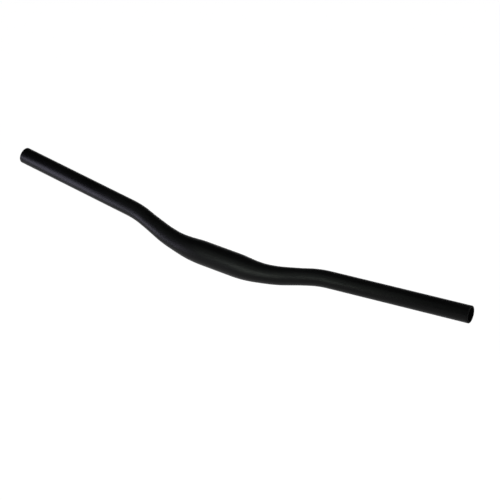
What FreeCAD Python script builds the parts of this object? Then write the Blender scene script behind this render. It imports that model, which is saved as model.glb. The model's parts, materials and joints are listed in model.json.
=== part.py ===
"""Riser handlebar for a mountain bike: one butted aluminium tube, swaged to a taper and bent.

Lengths are in millimetres and angles in degrees. The origin is the middle of the stem clamp, +X runs along
the bar to the rider's left, +Y back towards the rider and +Z up. The left half is modelled and mirrored.
"""
import FreeCAD
import Part
import math
import os
from FreeCAD import Vector

# The bar as it is sold and fitted
bar_width = 690.0  # between the middles of the two cut ends
clamp_diameter = 31.8  # where the stem grips the bar
grip_diameter = 22.2  # under the hand grips and the brake levers
rise = 15.0  # from the clamp's axis up to the corner of the outer bend
setback = 16.0  # from the clamp's axis back to the corner of the outer bend
backsweep = 4.0  # of the grips, seen from above
upsweep = 4.0  # of the grips, seen from the front

# The taper, measured along the centreline
clamp_length = 48.0  # the full-diameter stretch, both halves together
shoulder_length = 49.0  # the curved part of the taper
cone_length = 45.0  # the straight part of the taper
neck_diameter = 25.1  # where the shoulder runs into the cone

# The bends, measured on the centreline
straight_at_middle = 74.5  # the unbent stretch through the clamp, both halves together
inner_bend_radius = 210.0
run_between_bends = 32.0
outer_bend_radius = 138.0

# The tube's wall and its cut ends
clamp_wall = 2.6
grip_wall = 2.2
end_rounding = 1.0  # of the outer edge at a cut end
bore_chamfer = 0.4  # of the inner edge at a cut end

# Fineness of the model
taper_sections = 23  # circles that the taper is lofted through
angle_tolerance = 1e-12
length_tolerance = 1e-3

ALONG = Vector(1, 0, 0)
BACK = Vector(0, 1, 0)
UP = Vector(0, 0, 1)

clamp_end = clamp_length / 2
neck = clamp_end + shoulder_length
taper_end = neck + cone_length


def slope(degrees):
    return math.tan(math.radians(degrees))


grip_heading = (ALONG + BACK * slope(backsweep) + UP * slope(upsweep)).normalize()
corner_offset = BACK * setback + UP * rise
sideways = corner_offset / corner_offset.Length


class Run:
    """A straight run of the centreline."""

    def __init__(self, start, heading, length):
        self.start = start
        self.heading = heading
        self.length = length
        self.end = start + heading * length

    def place(self, along):
        """The point and the heading at a distance from the run's start."""
        return self.start + self.heading * along, self.heading

    def rod(self, first, last, radius):
        """A round rod of one radius on this run, between two distances from its start."""
        return Part.makeCylinder(radius, last - first, self.place(first)[0], self.heading)


class Bend:
    """A round bend of the centreline, from one heading to another."""

    def __init__(self, start, heading, leaving, radius):
        self.start = start
        self.heading = heading
        self.radius = radius
        self.axis = heading.cross(leaving).normalize()
        self.centre = start + self.axis.cross(heading) * radius
        self.length = radius * heading.getAngle(leaving)
        self.end = self.place(self.length)[0]

    def turned(self, along):
        return math.degrees(along / self.radius)

    def place(self, along):
        """The point and the heading at a distance from the bend's start."""
        rotation = FreeCAD.Rotation(self.axis, self.turned(along))
        return self.centre + rotation.multVec(self.start - self.centre), rotation.multVec(self.heading)

    def rod(self, first, last, radius):
        """A round rod of one radius on this bend, between two distances from its start."""
        disc = Part.Face(ring(*self.place(first), radius))
        return disc.revolve(self.centre, self.axis, self.turned(last - first))


def ring(point, heading, radius):
    """A circle across the centreline, its seam turned no more than the heading turns it."""
    circle = Part.makeCircle(radius)
    circle.Placement = FreeCAD.Placement(point, FreeCAD.Rotation(UP, heading))
    return Part.Wire(circle)


def climb_heading(angle):
    """The heading between the bends, at an angle in radians to the clamp's axis."""
    return ALONG * math.cos(angle) + sideways * math.sin(angle)


def corner_distance(angle):
    """The distance between the corners of the two bends, when the tube climbs between them at this angle."""
    outer_turn = climb_heading(angle).getAngle(grip_heading)
    inner_reach = inner_bend_radius * math.tan(angle / 2)
    outer_reach = outer_bend_radius * math.tan(outer_turn / 2)
    return inner_reach + run_between_bends + outer_reach


def climb_angle():
    """The angle that brings the outer bend's corner to its rise and setback, found by halving."""
    low = 0.0
    high = math.pi / 2
    while high - low > angle_tolerance:
        middle = (low + high) / 2
        if corner_distance(middle) * math.sin(middle) < corner_offset.Length:
            low = middle
        else:
            high = middle
    return low


def centreline():
    """The left half's centreline, from the middle of the clamp out: three runs joined by two bends."""
    climb = climb_heading(climb_angle())
    clamp_run = Run(Vector(), ALONG, straight_at_middle / 2)
    inner_bend = Bend(clamp_run.end, ALONG, climb, inner_bend_radius)
    climbing_run = Run(inner_bend.end, climb, run_between_bends)
    outer_bend = Bend(climbing_run.end, climb, grip_heading, outer_bend_radius)
    grip_length = (bar_width / 2 - outer_bend.end.x) / grip_heading.x
    grip_run = Run(outer_bend.end, grip_heading, grip_length)
    return [clamp_run, inner_bend, climbing_run, outer_bend, grip_run]


def outer_diameter(along):
    """The outside of the taper: a shoulder that leaves the clamp level and runs smoothly into the cone."""
    cone_slope = (grip_diameter - neck_diameter) / cone_length
    if along >= neck:
        return neck_diameter + cone_slope * (along - neck)
    share = (along - clamp_end) / shoulder_length
    fall = share**2 * (3 - 2 * share)
    lean = share**2 * (share - 1)
    return clamp_diameter + (neck_diameter - clamp_diameter) * fall + cone_slope * shoulder_length * lean


def bore_diameter(along):
    """The inside of the taper: the wall thins evenly from the clamp to the grip."""
    share = (along - clamp_end) / (taper_end - clamp_end)
    wall = clamp_wall + (grip_wall - clamp_wall) * share
    return outer_diameter(along) - 2 * wall


def plain_rods(spans, first, last, radius):
    """Rods of one radius on every span of the centreline that lies between two distances from the clamp."""
    rods = []
    span_start = 0.0
    for span in spans:
        low = max(first - span_start, 0.0)
        high = min(last - span_start, span.length)
        if high - low > length_tolerance:
            rods.append(span.rod(low, high, radius))
        span_start += span.length
    return rods


def place_on(spans, along):
    """The point and the heading at a distance from the clamp's middle."""
    for span in spans[:-1]:
        if along <= span.length:
            return span.place(along)
        along -= span.length
    return spans[-1].place(along)


def tapered_rod(spans, diameter_at):
    """The taper as one smooth loft through circles across the centreline."""
    step = (taper_end - clamp_end) / (taper_sections - 1)
    sections = []
    for index in range(taper_sections):
        along = clamp_end + index * step
        sections.append(ring(*place_on(spans, along), diameter_at(along) / 2))
    return Part.makeLoft(sections, True)


def half_rod(spans, diameter_at):
    """A solid rod along the left half, from the middle of the clamp to the cut end."""
    half_length = sum(span.length for span in spans)
    pieces = plain_rods(spans, 0.0, clamp_end, diameter_at(clamp_end) / 2)
    pieces.append(tapered_rod(spans, diameter_at))
    pieces += plain_rods(spans, taper_end, half_length, diameter_at(taper_end) / 2)
    return pieces[0].multiFuse(pieces[1:])


def end_circles(tube, end, radius):
    """The edges of one radius around the cut end."""
    circles = [edge for edge in tube.Edges if isinstance(edge.Curve, Part.Circle)]
    at_end = [edge for edge in circles if edge.Curve.Center.distanceToPoint(end) < length_tolerance]
    return [edge for edge in at_end if abs(edge.Curve.Radius - radius) < length_tolerance]


def half_tube():
    """The left half of the bar, bored through, with its cut end finished."""
    spans = centreline()
    end = spans[-1].end
    grip_radius = grip_diameter / 2
    tube = half_rod(spans, outer_diameter).cut(half_rod(spans, bore_diameter))
    tube = tube.makeFillet(end_rounding, end_circles(tube, end, grip_radius))
    return tube.makeChamfer(bore_chamfer, end_circles(tube, end, grip_radius - grip_wall))


def handlebar():
    left = half_tube()
    right = left.mirror(Vector(), ALONG)
    return left.fuse(right).removeSplitter()


os.makedirs("parts", exist_ok=True)
handlebar().exportStep("parts/handlebar.step")
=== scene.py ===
"""Looks of a riser handlebar: one bent tube with a matte black finish, in soft studio light on white.

Lengths are in metres and angles in degrees, in the part's own frame: +X runs along the bar to the rider's left,
+Y back towards the rider and +Z up. The left half is modelled and mirrored.
"""
import json
import math
import bmesh
import bpy
from mathutils import Matrix, Vector


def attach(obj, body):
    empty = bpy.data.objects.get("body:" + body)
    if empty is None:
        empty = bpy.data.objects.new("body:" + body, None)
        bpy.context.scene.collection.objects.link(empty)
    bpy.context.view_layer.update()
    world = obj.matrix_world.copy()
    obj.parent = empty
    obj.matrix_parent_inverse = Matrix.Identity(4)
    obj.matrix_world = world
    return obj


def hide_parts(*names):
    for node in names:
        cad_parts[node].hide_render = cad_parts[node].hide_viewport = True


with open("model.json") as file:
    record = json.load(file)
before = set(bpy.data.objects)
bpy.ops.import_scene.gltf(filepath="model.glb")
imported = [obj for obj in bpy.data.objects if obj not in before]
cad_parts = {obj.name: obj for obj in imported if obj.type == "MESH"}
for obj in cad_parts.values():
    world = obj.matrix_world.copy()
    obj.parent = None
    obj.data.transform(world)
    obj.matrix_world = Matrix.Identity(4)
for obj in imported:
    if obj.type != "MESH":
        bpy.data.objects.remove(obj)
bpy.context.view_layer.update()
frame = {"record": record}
mounts = {mount["name"]: mount for mount in frame["record"]["mounts"]}

MILLIMETRES_IN_METRE = 1000
ALONG = Vector((1, 0, 0))
ACROSS_BAR = Matrix.Rotation(math.pi / 2, 4, "Y")


def mount_size(name, dimension):
    return mounts[name]["dims"][dimension] / MILLIMETRES_IN_METRE


# What stems, grips and plugs fit
clamp_radius = mount_size("stem_clamp", "r_mm")
clamp_end = mount_size("stem_clamp", "length_mm") / 2
grip_radius = mount_size("grip_left", "r_mm")
grip_bore_radius = mount_size("bar_end_left", "r_mm")
grip_middle = Vector(mounts["grip_left"]["pos_m"])
grip_heading = Vector(mounts["grip_left"]["axis"]).normalized()

# The bends, measured on the centreline
rise = 0.015  # from the clamp's axis up to the corner of the outer bend
straight_at_middle = 0.0745
inner_bend_radius = 0.210
outer_bend_radius = 0.138

# The taper, measured along the centreline, and the wall
shoulder_length = 0.049
cone_length = 0.045
neck_radius = 0.01255
clamp_wall = 0.0026
end_rounding = 0.001
bore_chamfer = 0.0004

taper_end = clamp_end + shoulder_length + cone_length
grip_wall = grip_radius - grip_bore_radius

# Fineness of the mesh
ring_segments = 96
outside_spacing = 0.003
bore_spacing = 0.006
rounding_steps = 6
support_gap = 0.0002  # from the end rounding to the ring that keeps the tube beside it straight
merge_distance = 1e-6
sharp_angle = 30

# Patterns in the finish, as repeats per metre: in space, or along the tube and across it
grain_scale = 1000.0
cloud_scale = 14.0
line_scale = (2.5, 700.0, 700.0)
ring_scale = (800.0, 30.0, 30.0)

# The range that each noise mostly keeps to, and where patterns fade
cloud_range = (0.3, 0.7)
fine_range = (0.25, 0.75)
ring_fade_at_clamp = 0.01
ring_fade_at_grip = 0.02  # on each side of the taper's end
dull_start = 1.4 * end_rounding  # back from the cut end, where the finish starts to turn dull
dull_full = 0.8 * end_rounding

# Colour and gloss of the finish
deep_black = (0.0006, 0.0006, 0.00065, 1)
faded_black = (0.0016, 0.0016, 0.0017, 1)
reflectance = 0.084  # as the shader's specular level, where 0.5 is a usual clear coat
cloud_roughness = (0.38, 0.42)
grain_roughness = 0.05  # more or less
line_roughness = 0.04  # more or less
ring_roughness = 0.05
cut_roughness = 0.4

# Relief of the finish
relief_depth = 0.00012
relief_strength = 0.5
line_relief = 0.3  # of the grain's
ring_relief = 0.4  # of the grain's

# The floor
floor_height = -1.0
floor_radius = 60.0
floor_segments = 64
paper_white = 0.95
paper_share_seen = 0.19  # what is left of the paper beside the glow
floor_glow = 0.9

# The light
white = (1, 1, 1)
pale_violet = (0.78, 0.75, 1.0)
pale_green = (0.9, 1.0, 0.9)
overhead_strength = 1.5
overhead_spread = 120
ceiling_start = 0.22  # as the height of a direction, where 1 is straight up
horizon_shade = (1, 1, 1, 1)
ceiling_shade = (0.02, 0.02, 0.02, 1)

# The camera
camera_azimuth = 33.11
camera_elevation = 33.76
camera_distance = 2.197
camera_target = Vector((0.0469, 0.0, 0.0311))
camera_lens = 124.5  # in millimetres, like the sensor
camera_sensor = 36.0


def straight(heading, length):
    """A straight run of the centreline: its length, and the matrix that carries a ring a step along it."""
    return length, lambda step: Matrix.Translation(heading * step)


def bend(start, heading, leaving, radius):
    """A round bend from one heading to another: its length, and the matrix that carries a ring a step round it."""
    axis = heading.cross(leaving).normalized()
    centre = Matrix.Translation(start + axis.cross(heading) * radius)
    length = radius * heading.angle(leaving)
    return length, lambda step: centre @ Matrix.Rotation(step / radius, 4, axis) @ centre.inverted()


def centreline():
    """The left half's spans, from the middle of the clamp out: three straight runs joined by two bends."""
    outer_corner = grip_middle - grip_heading * (grip_middle.z - rise) / grip_heading.z
    offset = Vector((0, outer_corner.y, outer_corner.z))
    reach = outer_corner.x - straight_at_middle / 2
    # The climb from the inner bend's start to the outer corner fixes the tangent of half the inner turn
    spread = 2 * inner_bend_radius - offset.length
    half_tangent = (reach - math.sqrt(reach**2 - spread * offset.length)) / spread
    climb_angle = 2 * math.atan(half_tangent)
    climb = ALONG * math.cos(climb_angle) + offset.normalized() * math.sin(climb_angle)
    inner_start = ALONG * straight_at_middle / 2
    inner_end = inner_start + (ALONG + climb) * inner_bend_radius * half_tangent
    outer_reach = outer_bend_radius * math.tan(climb.angle(grip_heading) / 2)
    outer_start = outer_corner - climb * outer_reach
    grip_start = outer_corner + grip_heading * outer_reach
    # The grip's mount is centred on the last run, and shorter than it by the end rounding
    grip_end = grip_middle + grip_heading * (mount_size("grip_left", "length_mm") + end_rounding) / 2
    return [
        straight(ALONG, inner_start.x),
        bend(inner_start, ALONG, climb, inner_bend_radius),
        straight(climb, (outer_start - inner_end).length),
        bend(outer_start, climb, grip_heading, outer_bend_radius),
        straight(grip_heading, (grip_end - grip_start).length),
    ]


def half_length(spans):
    """From the middle of the clamp to the cut end, along the centreline."""
    return sum(length for length, carry in spans)


def place_on(spans, along):
    """The matrix that carries a ring from the origin to a distance along the centreline, square to it."""
    place = ACROSS_BAR
    for length, carry in spans:
        step = min(along, length)
        place = carry(step) @ place
        along -= step
    return place


def outer_radius(along):
    """The outside: level at the clamp, a shoulder that runs smoothly into a cone, level again at the grip."""
    if along <= clamp_end:
        return clamp_radius
    if along >= taper_end:
        return grip_radius
    cone_slope = (grip_radius - neck_radius) / cone_length
    share = (along - clamp_end) / shoulder_length
    if share >= 1:
        return grip_radius + cone_slope * (along - taper_end)
    fall = share**2 * (3 - 2 * share)
    lean = share**2 * (share - 1)
    return clamp_radius + (neck_radius - clamp_radius) * fall + cone_slope * shoulder_length * lean


def bore_radius(along):
    """The inside: the wall thins evenly over the taper."""
    share = (along - clamp_end) / (taper_end - clamp_end)
    wall = clamp_wall + (grip_wall - clamp_wall) * min(max(share, 0), 1)
    return outer_radius(along) - wall


def even_steps(first, last, spacing):
    count = math.ceil(abs(last - first) / spacing)
    return [first + (last - first) * index / count for index in range(count + 1)]


def wall_section(cut_end):
    """The wall cut lengthwise, as distances along the centreline and radii: out, round the cut end, back inside."""
    straight_end = cut_end - end_rounding
    outside = even_steps(0, straight_end - support_gap, outside_spacing)
    section = [(along, outer_radius(along)) for along in outside]
    for index in range(rounding_steps + 1):
        angle = math.pi / 2 * index / rounding_steps
        along = straight_end + end_rounding * math.sin(angle)
        section.append((along, grip_radius - end_rounding * (1 - math.cos(angle))))
    section.append((cut_end, grip_radius - end_rounding - support_gap))
    section.append((cut_end, grip_bore_radius + bore_chamfer))
    inside = even_steps(cut_end - bore_chamfer, 0, bore_spacing)
    return section + [(along, bore_radius(along)) for along in inside]


def extruded(mesh, ring, step):
    """Extrudes a ring of edges and carries the new ring by a matrix."""
    grown = bmesh.ops.extrude_edge_only(mesh, edges=ring)["geom"]
    verts = [item for item in grown if isinstance(item, bmesh.types.BMVert)]
    bmesh.ops.transform(mesh, matrix=step, verts=verts)
    fresh = set(verts)
    touching = dict.fromkeys(edge for vert in verts for edge in vert.link_edges)
    return [edge for edge in touching if fresh.issuperset(edge.verts)]


def tube_mesh():
    """The tube, its section carried ring by ring along the left half and mirrored.

    Each vertex also keeps where it lay before the tube was bent, for finishes that follow the tube.
    """
    spans = centreline()
    mesh = bmesh.new()
    unbent = mesh.verts.layers.float_vector.new("unbent")
    bmesh.ops.create_circle(mesh, segments=ring_segments, radius=1.0)
    ring = mesh.edges[:]
    size_and_place = Matrix.Identity(4)
    for index, (along, radius) in enumerate(wall_section(half_length(spans))):
        place = place_on(spans, along)
        previous = size_and_place
        size_and_place = place @ Matrix.Scale(radius, 4)
        step = size_and_place @ previous.inverted()
        if index == 0:
            bmesh.ops.transform(mesh, matrix=step, verts=mesh.verts)
        else:
            ring = extruded(mesh, ring, step)
        flatten = Matrix.Translation(ALONG * along) @ ACROSS_BAR @ place.inverted()
        for vert in {vert for edge in ring for vert in edge.verts}:
            vert[unbent] = flatten @ vert.co
    everything = mesh.verts[:] + mesh.edges[:] + mesh.faces[:]
    bmesh.ops.mirror(mesh, geom=everything, matrix=Matrix.Identity(4), merge_dist=merge_distance, axis="X")
    bmesh.ops.remove_doubles(mesh, verts=mesh.verts, dist=merge_distance)
    bmesh.ops.recalc_face_normals(mesh, faces=mesh.faces)
    for vert in mesh.verts:
        vert[unbent].x = math.copysign(vert[unbent].x, vert.co.x)
    return mesh


def finished_object(mesh, name, material):
    data = bpy.data.meshes.new(name)
    mesh.to_mesh(data)
    mesh.free()
    data.shade_smooth()
    data.set_sharp_from_angle(angle=math.radians(sharp_angle))
    data.materials.append(material)
    made = bpy.data.objects.new(name, data)
    bpy.context.scene.collection.objects.link(made)
    return made


class Nodes:
    """A material's or the world's nodes, added and joined in one line each."""

    def __init__(self, owner):
        owner.use_nodes = True
        self.tree = owner.node_tree
        self.tree.nodes.clear()

    def add(self, kind, inputs=(), **settings):
        node = self.tree.nodes.new("ShaderNode" + kind)
        for name, value in settings.items():
            setattr(node, name, value)
        for name, value in dict(inputs).items():
            if isinstance(value, bpy.types.NodeSocket):
                self.tree.links.new(value, node.inputs[name])
            else:
                node.inputs[name].default_value = value
        return node

    def noise(self, vector, scale, detail):
        return self.add("TexNoise", {"Vector": vector, "Scale": scale, "Detail": detail}).outputs["Fac"]

    def stretched(self, vector, scale):
        return self.add("Mapping", {"Vector": vector, "Scale": scale}).outputs["Vector"]

    def between(self, value, low, high, new_low, new_high):
        limits = {"From Min": low, "From Max": high, "To Min": new_low, "To Max": new_high}
        return self.add("MapRange", {"Value": value, **limits}).outputs["Result"]

    def math(self, operation, *values):
        return self.add("Math", dict(enumerate(values)), operation=operation).outputs["Value"]

    def product(self, first, second):
        return self.math("MULTIPLY", first, second)

    def total(self, *values):
        added = values[0]
        for value in values[1:]:
            added = self.math("ADD", added, value)
        return added


def black_finish():
    """Matte black anodising on blasted aluminium.

    It has fine grain, faint clouds of dye, lines left by drawing the tube, rings left on the taper by swaging it,
    and duller cut ends.
    """
    material = bpy.data.materials.new("matte_black_finish")
    nodes = Nodes(material)
    place = nodes.add("TexCoord").outputs["Object"]
    unbent = nodes.add("Attribute", attribute_name="unbent").outputs["Vector"]
    grain = nodes.noise(place, grain_scale, detail=2.0)
    clouds = nodes.noise(place, cloud_scale, detail=4.0)
    drawn_lines = nodes.noise(nodes.stretched(unbent, line_scale), scale=1.0, detail=3.0)
    swage_rings = nodes.noise(nodes.stretched(unbent, ring_scale), scale=1.0, detail=2.0)

    along = nodes.add("SeparateXYZ", {"Vector": unbent}).outputs["X"]
    from_middle = nodes.math("ABSOLUTE", along)
    past_clamp = nodes.between(from_middle, clamp_end, clamp_end + ring_fade_at_clamp, 0.0, 1.0)
    fade_start = taper_end - ring_fade_at_grip
    before_grip = nodes.between(from_middle, fade_start, taper_end + ring_fade_at_grip, 1.0, 0.0)
    rings_on_taper = nodes.product(swage_rings, nodes.product(past_clamp, before_grip))
    cut_end = half_length(centreline())
    at_cut_end = nodes.between(from_middle, cut_end - dull_start, cut_end - dull_full, 0.0, 1.0)

    shade = nodes.add("ValToRGB", {"Fac": nodes.between(clouds, *cloud_range, 0.0, 1.0)})
    shade.color_ramp.elements[0].color = deep_black
    shade.color_ramp.elements[1].color = faded_black

    roughness = nodes.total(
        nodes.between(clouds, *cloud_range, *cloud_roughness),
        nodes.between(grain, *fine_range, -grain_roughness, grain_roughness),
        nodes.between(drawn_lines, *fine_range, -line_roughness, line_roughness),
        nodes.product(rings_on_taper, ring_roughness),
        nodes.product(at_cut_end, cut_roughness),
    )
    height = nodes.total(
        grain,
        nodes.product(drawn_lines, line_relief),
        nodes.product(rings_on_taper, ring_relief),
    )
    bump = nodes.add("Bump", {"Height": height, "Strength": relief_strength, "Distance": relief_depth})
    shader = nodes.add(
        "BsdfPrincipled",
        {"Base Color": shade.outputs["Color"], "Roughness": roughness, "Normal": bump.outputs["Normal"]},
    )
    shader.inputs["Specular IOR Level"].default_value = reflectance
    nodes.add("OutputMaterial", {"Surface": shader.outputs["BSDF"]})
    return material


def seen_directly(nodes):
    """1 for what the camera sees, straight, mirrored or through glass, and 0 for light that only brightens."""
    path = nodes.add("LightPath").outputs
    straight_or_mirrored = nodes.math("MAXIMUM", path["Is Camera Ray"], path["Is Glossy Ray"])
    return nodes.math("MAXIMUM", straight_or_mirrored, path["Is Transmission Ray"])


def white_floor():
    """A wide floor of white paper.

    Where it is seen, a glow takes over most of its brightness, and a share of the paper stays for the soft shadow.
    """
    material = bpy.data.materials.new("white_floor")
    nodes = Nodes(material)
    seen = seen_directly(nodes)
    paper = nodes.add("BsdfDiffuse", {"Color": nodes.between(seen, 0.0, 1.0, paper_white, paper_share_seen)})
    glow = nodes.add("Emission", {"Color": (*white, 1), "Strength": nodes.product(seen, floor_glow)})
    both = nodes.add("AddShader", {0: paper.outputs["BSDF"], 1: glow.outputs["Emission"]})
    nodes.add("OutputMaterial", {"Surface": both.outputs["Shader"]})
    mesh = bmesh.new()
    bmesh.ops.create_circle(mesh, cap_ends=True, segments=floor_segments, radius=floor_radius)
    bmesh.ops.translate(mesh, vec=Vector((0, 0, floor_height)), verts=mesh.verts)
    floor = finished_object(mesh, "floor", material)


def turned(azimuth, elevation):
    """The rotation of something that looks at the object from a side.

    Azimuth 0 is the front of the bar, and positive the rider's left.
    """
    around = Matrix.Rotation(math.radians(azimuth), 4, "Z")
    return around @ Matrix.Rotation(math.radians(90 - elevation), 4, "X")


def soft_box(name, azimuth, elevation, size, radiance, distance=1.5, lean=0, colour=white):
    """A rectangular lamp that faces the middle of the bar, leaning in its own plane."""
    width, height = size
    lamp = bpy.data.lights.new(name, "AREA")
    lamp.shape = "RECTANGLE"
    lamp.size = width
    lamp.size_y = height
    lamp.energy = radiance * math.pi * width * height
    lamp.color = colour
    holder = bpy.data.objects.new(name, lamp)
    away = Matrix.Translation((0, 0, distance))
    holder.matrix_world = turned(azimuth, elevation) @ away @ Matrix.Rotation(math.radians(lean), 4, "Z")
    holder.visible_camera = False
    bpy.context.scene.collection.objects.link(holder)


def overhead_light():
    """Even light from above for the floor and the top, too wide to show as a gleam."""
    lamp = bpy.data.lights.new("overhead", "SUN")
    lamp.energy = overhead_strength
    lamp.angle = math.radians(overhead_spread)
    holder = bpy.data.objects.new("overhead", lamp)
    holder.visible_glossy = False
    bpy.context.scene.collection.objects.link(holder)


def studio_world():
    """A pale horizon under a dark ceiling."""
    world = bpy.data.worlds.new("studio")
    nodes = Nodes(world)
    direction = nodes.add("TexCoord").outputs["Generated"]
    height = nodes.add("SeparateXYZ", {"Vector": direction}).outputs["Z"]
    ramp = nodes.add("ValToRGB", {"Fac": nodes.between(height, 0.0, ceiling_start, 0.0, 1.0)})
    ramp.color_ramp.interpolation = "EASE"
    ramp.color_ramp.elements[0].color = horizon_shade
    ramp.color_ramp.elements[1].color = ceiling_shade
    sky = nodes.add("Background", {"Color": ramp.outputs["Color"], "Strength": 1.0})
    nodes.add("OutputWorld", {"Surface": sky.outputs["Background"]})
    bpy.context.scene.world = world


def camera():
    data = bpy.data.cameras.new("camera")
    data.lens = camera_lens
    data.sensor_width = camera_sensor
    holder = bpy.data.objects.new("camera", data)
    away = Matrix.Translation((0, 0, camera_distance))
    holder.matrix_world = Matrix.Translation(camera_target) @ turned(camera_azimuth, camera_elevation) @ away
    bpy.context.scene.collection.objects.link(holder)
    bpy.context.scene.camera = holder


tube = finished_object(tube_mesh(), "bent_tube", black_finish())
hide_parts("handlebar")
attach(tube, "root")

white_floor()

# Near the bar, for the ridge of light that the main view shows
soft_box(
    "right_box", azimuth=-67, elevation=-1, distance=0.41, lean=46,
    size=(0.13, 0.22), radiance=10.5, colour=pale_violet,
)
soft_box(
    "front_box", azimuth=-6, elevation=20, distance=0.3, lean=46,
    size=(0.09, 0.18), radiance=12.0, colour=pale_green,
)
soft_box(
    "upper_box", azimuth=-16, elevation=51, distance=0.4, lean=15,
    size=(0.4, 0.36), radiance=1.1, colour=pale_green,
)

# Farther off, for the sides that the main view doesn't show
soft_box("front_left_box", azimuth=48, elevation=12, size=(0.4, 0.5), radiance=7.2)
soft_box("left_end_box", azimuth=88, elevation=15, size=(0.4, 0.4), radiance=7.2)
soft_box("back_left_box", azimuth=132, elevation=28, size=(0.4, 0.5), radiance=7.2)
soft_box("back_box", azimuth=162, elevation=50, size=(0.25, 0.5), radiance=7.2)
soft_box("low_back_right_box", azimuth=-147, elevation=-28, size=(0.4, 0.4), radiance=5.8)

overhead_light()
studio_world()
camera()
bpy.context.scene.view_settings.view_transform = "Standard"
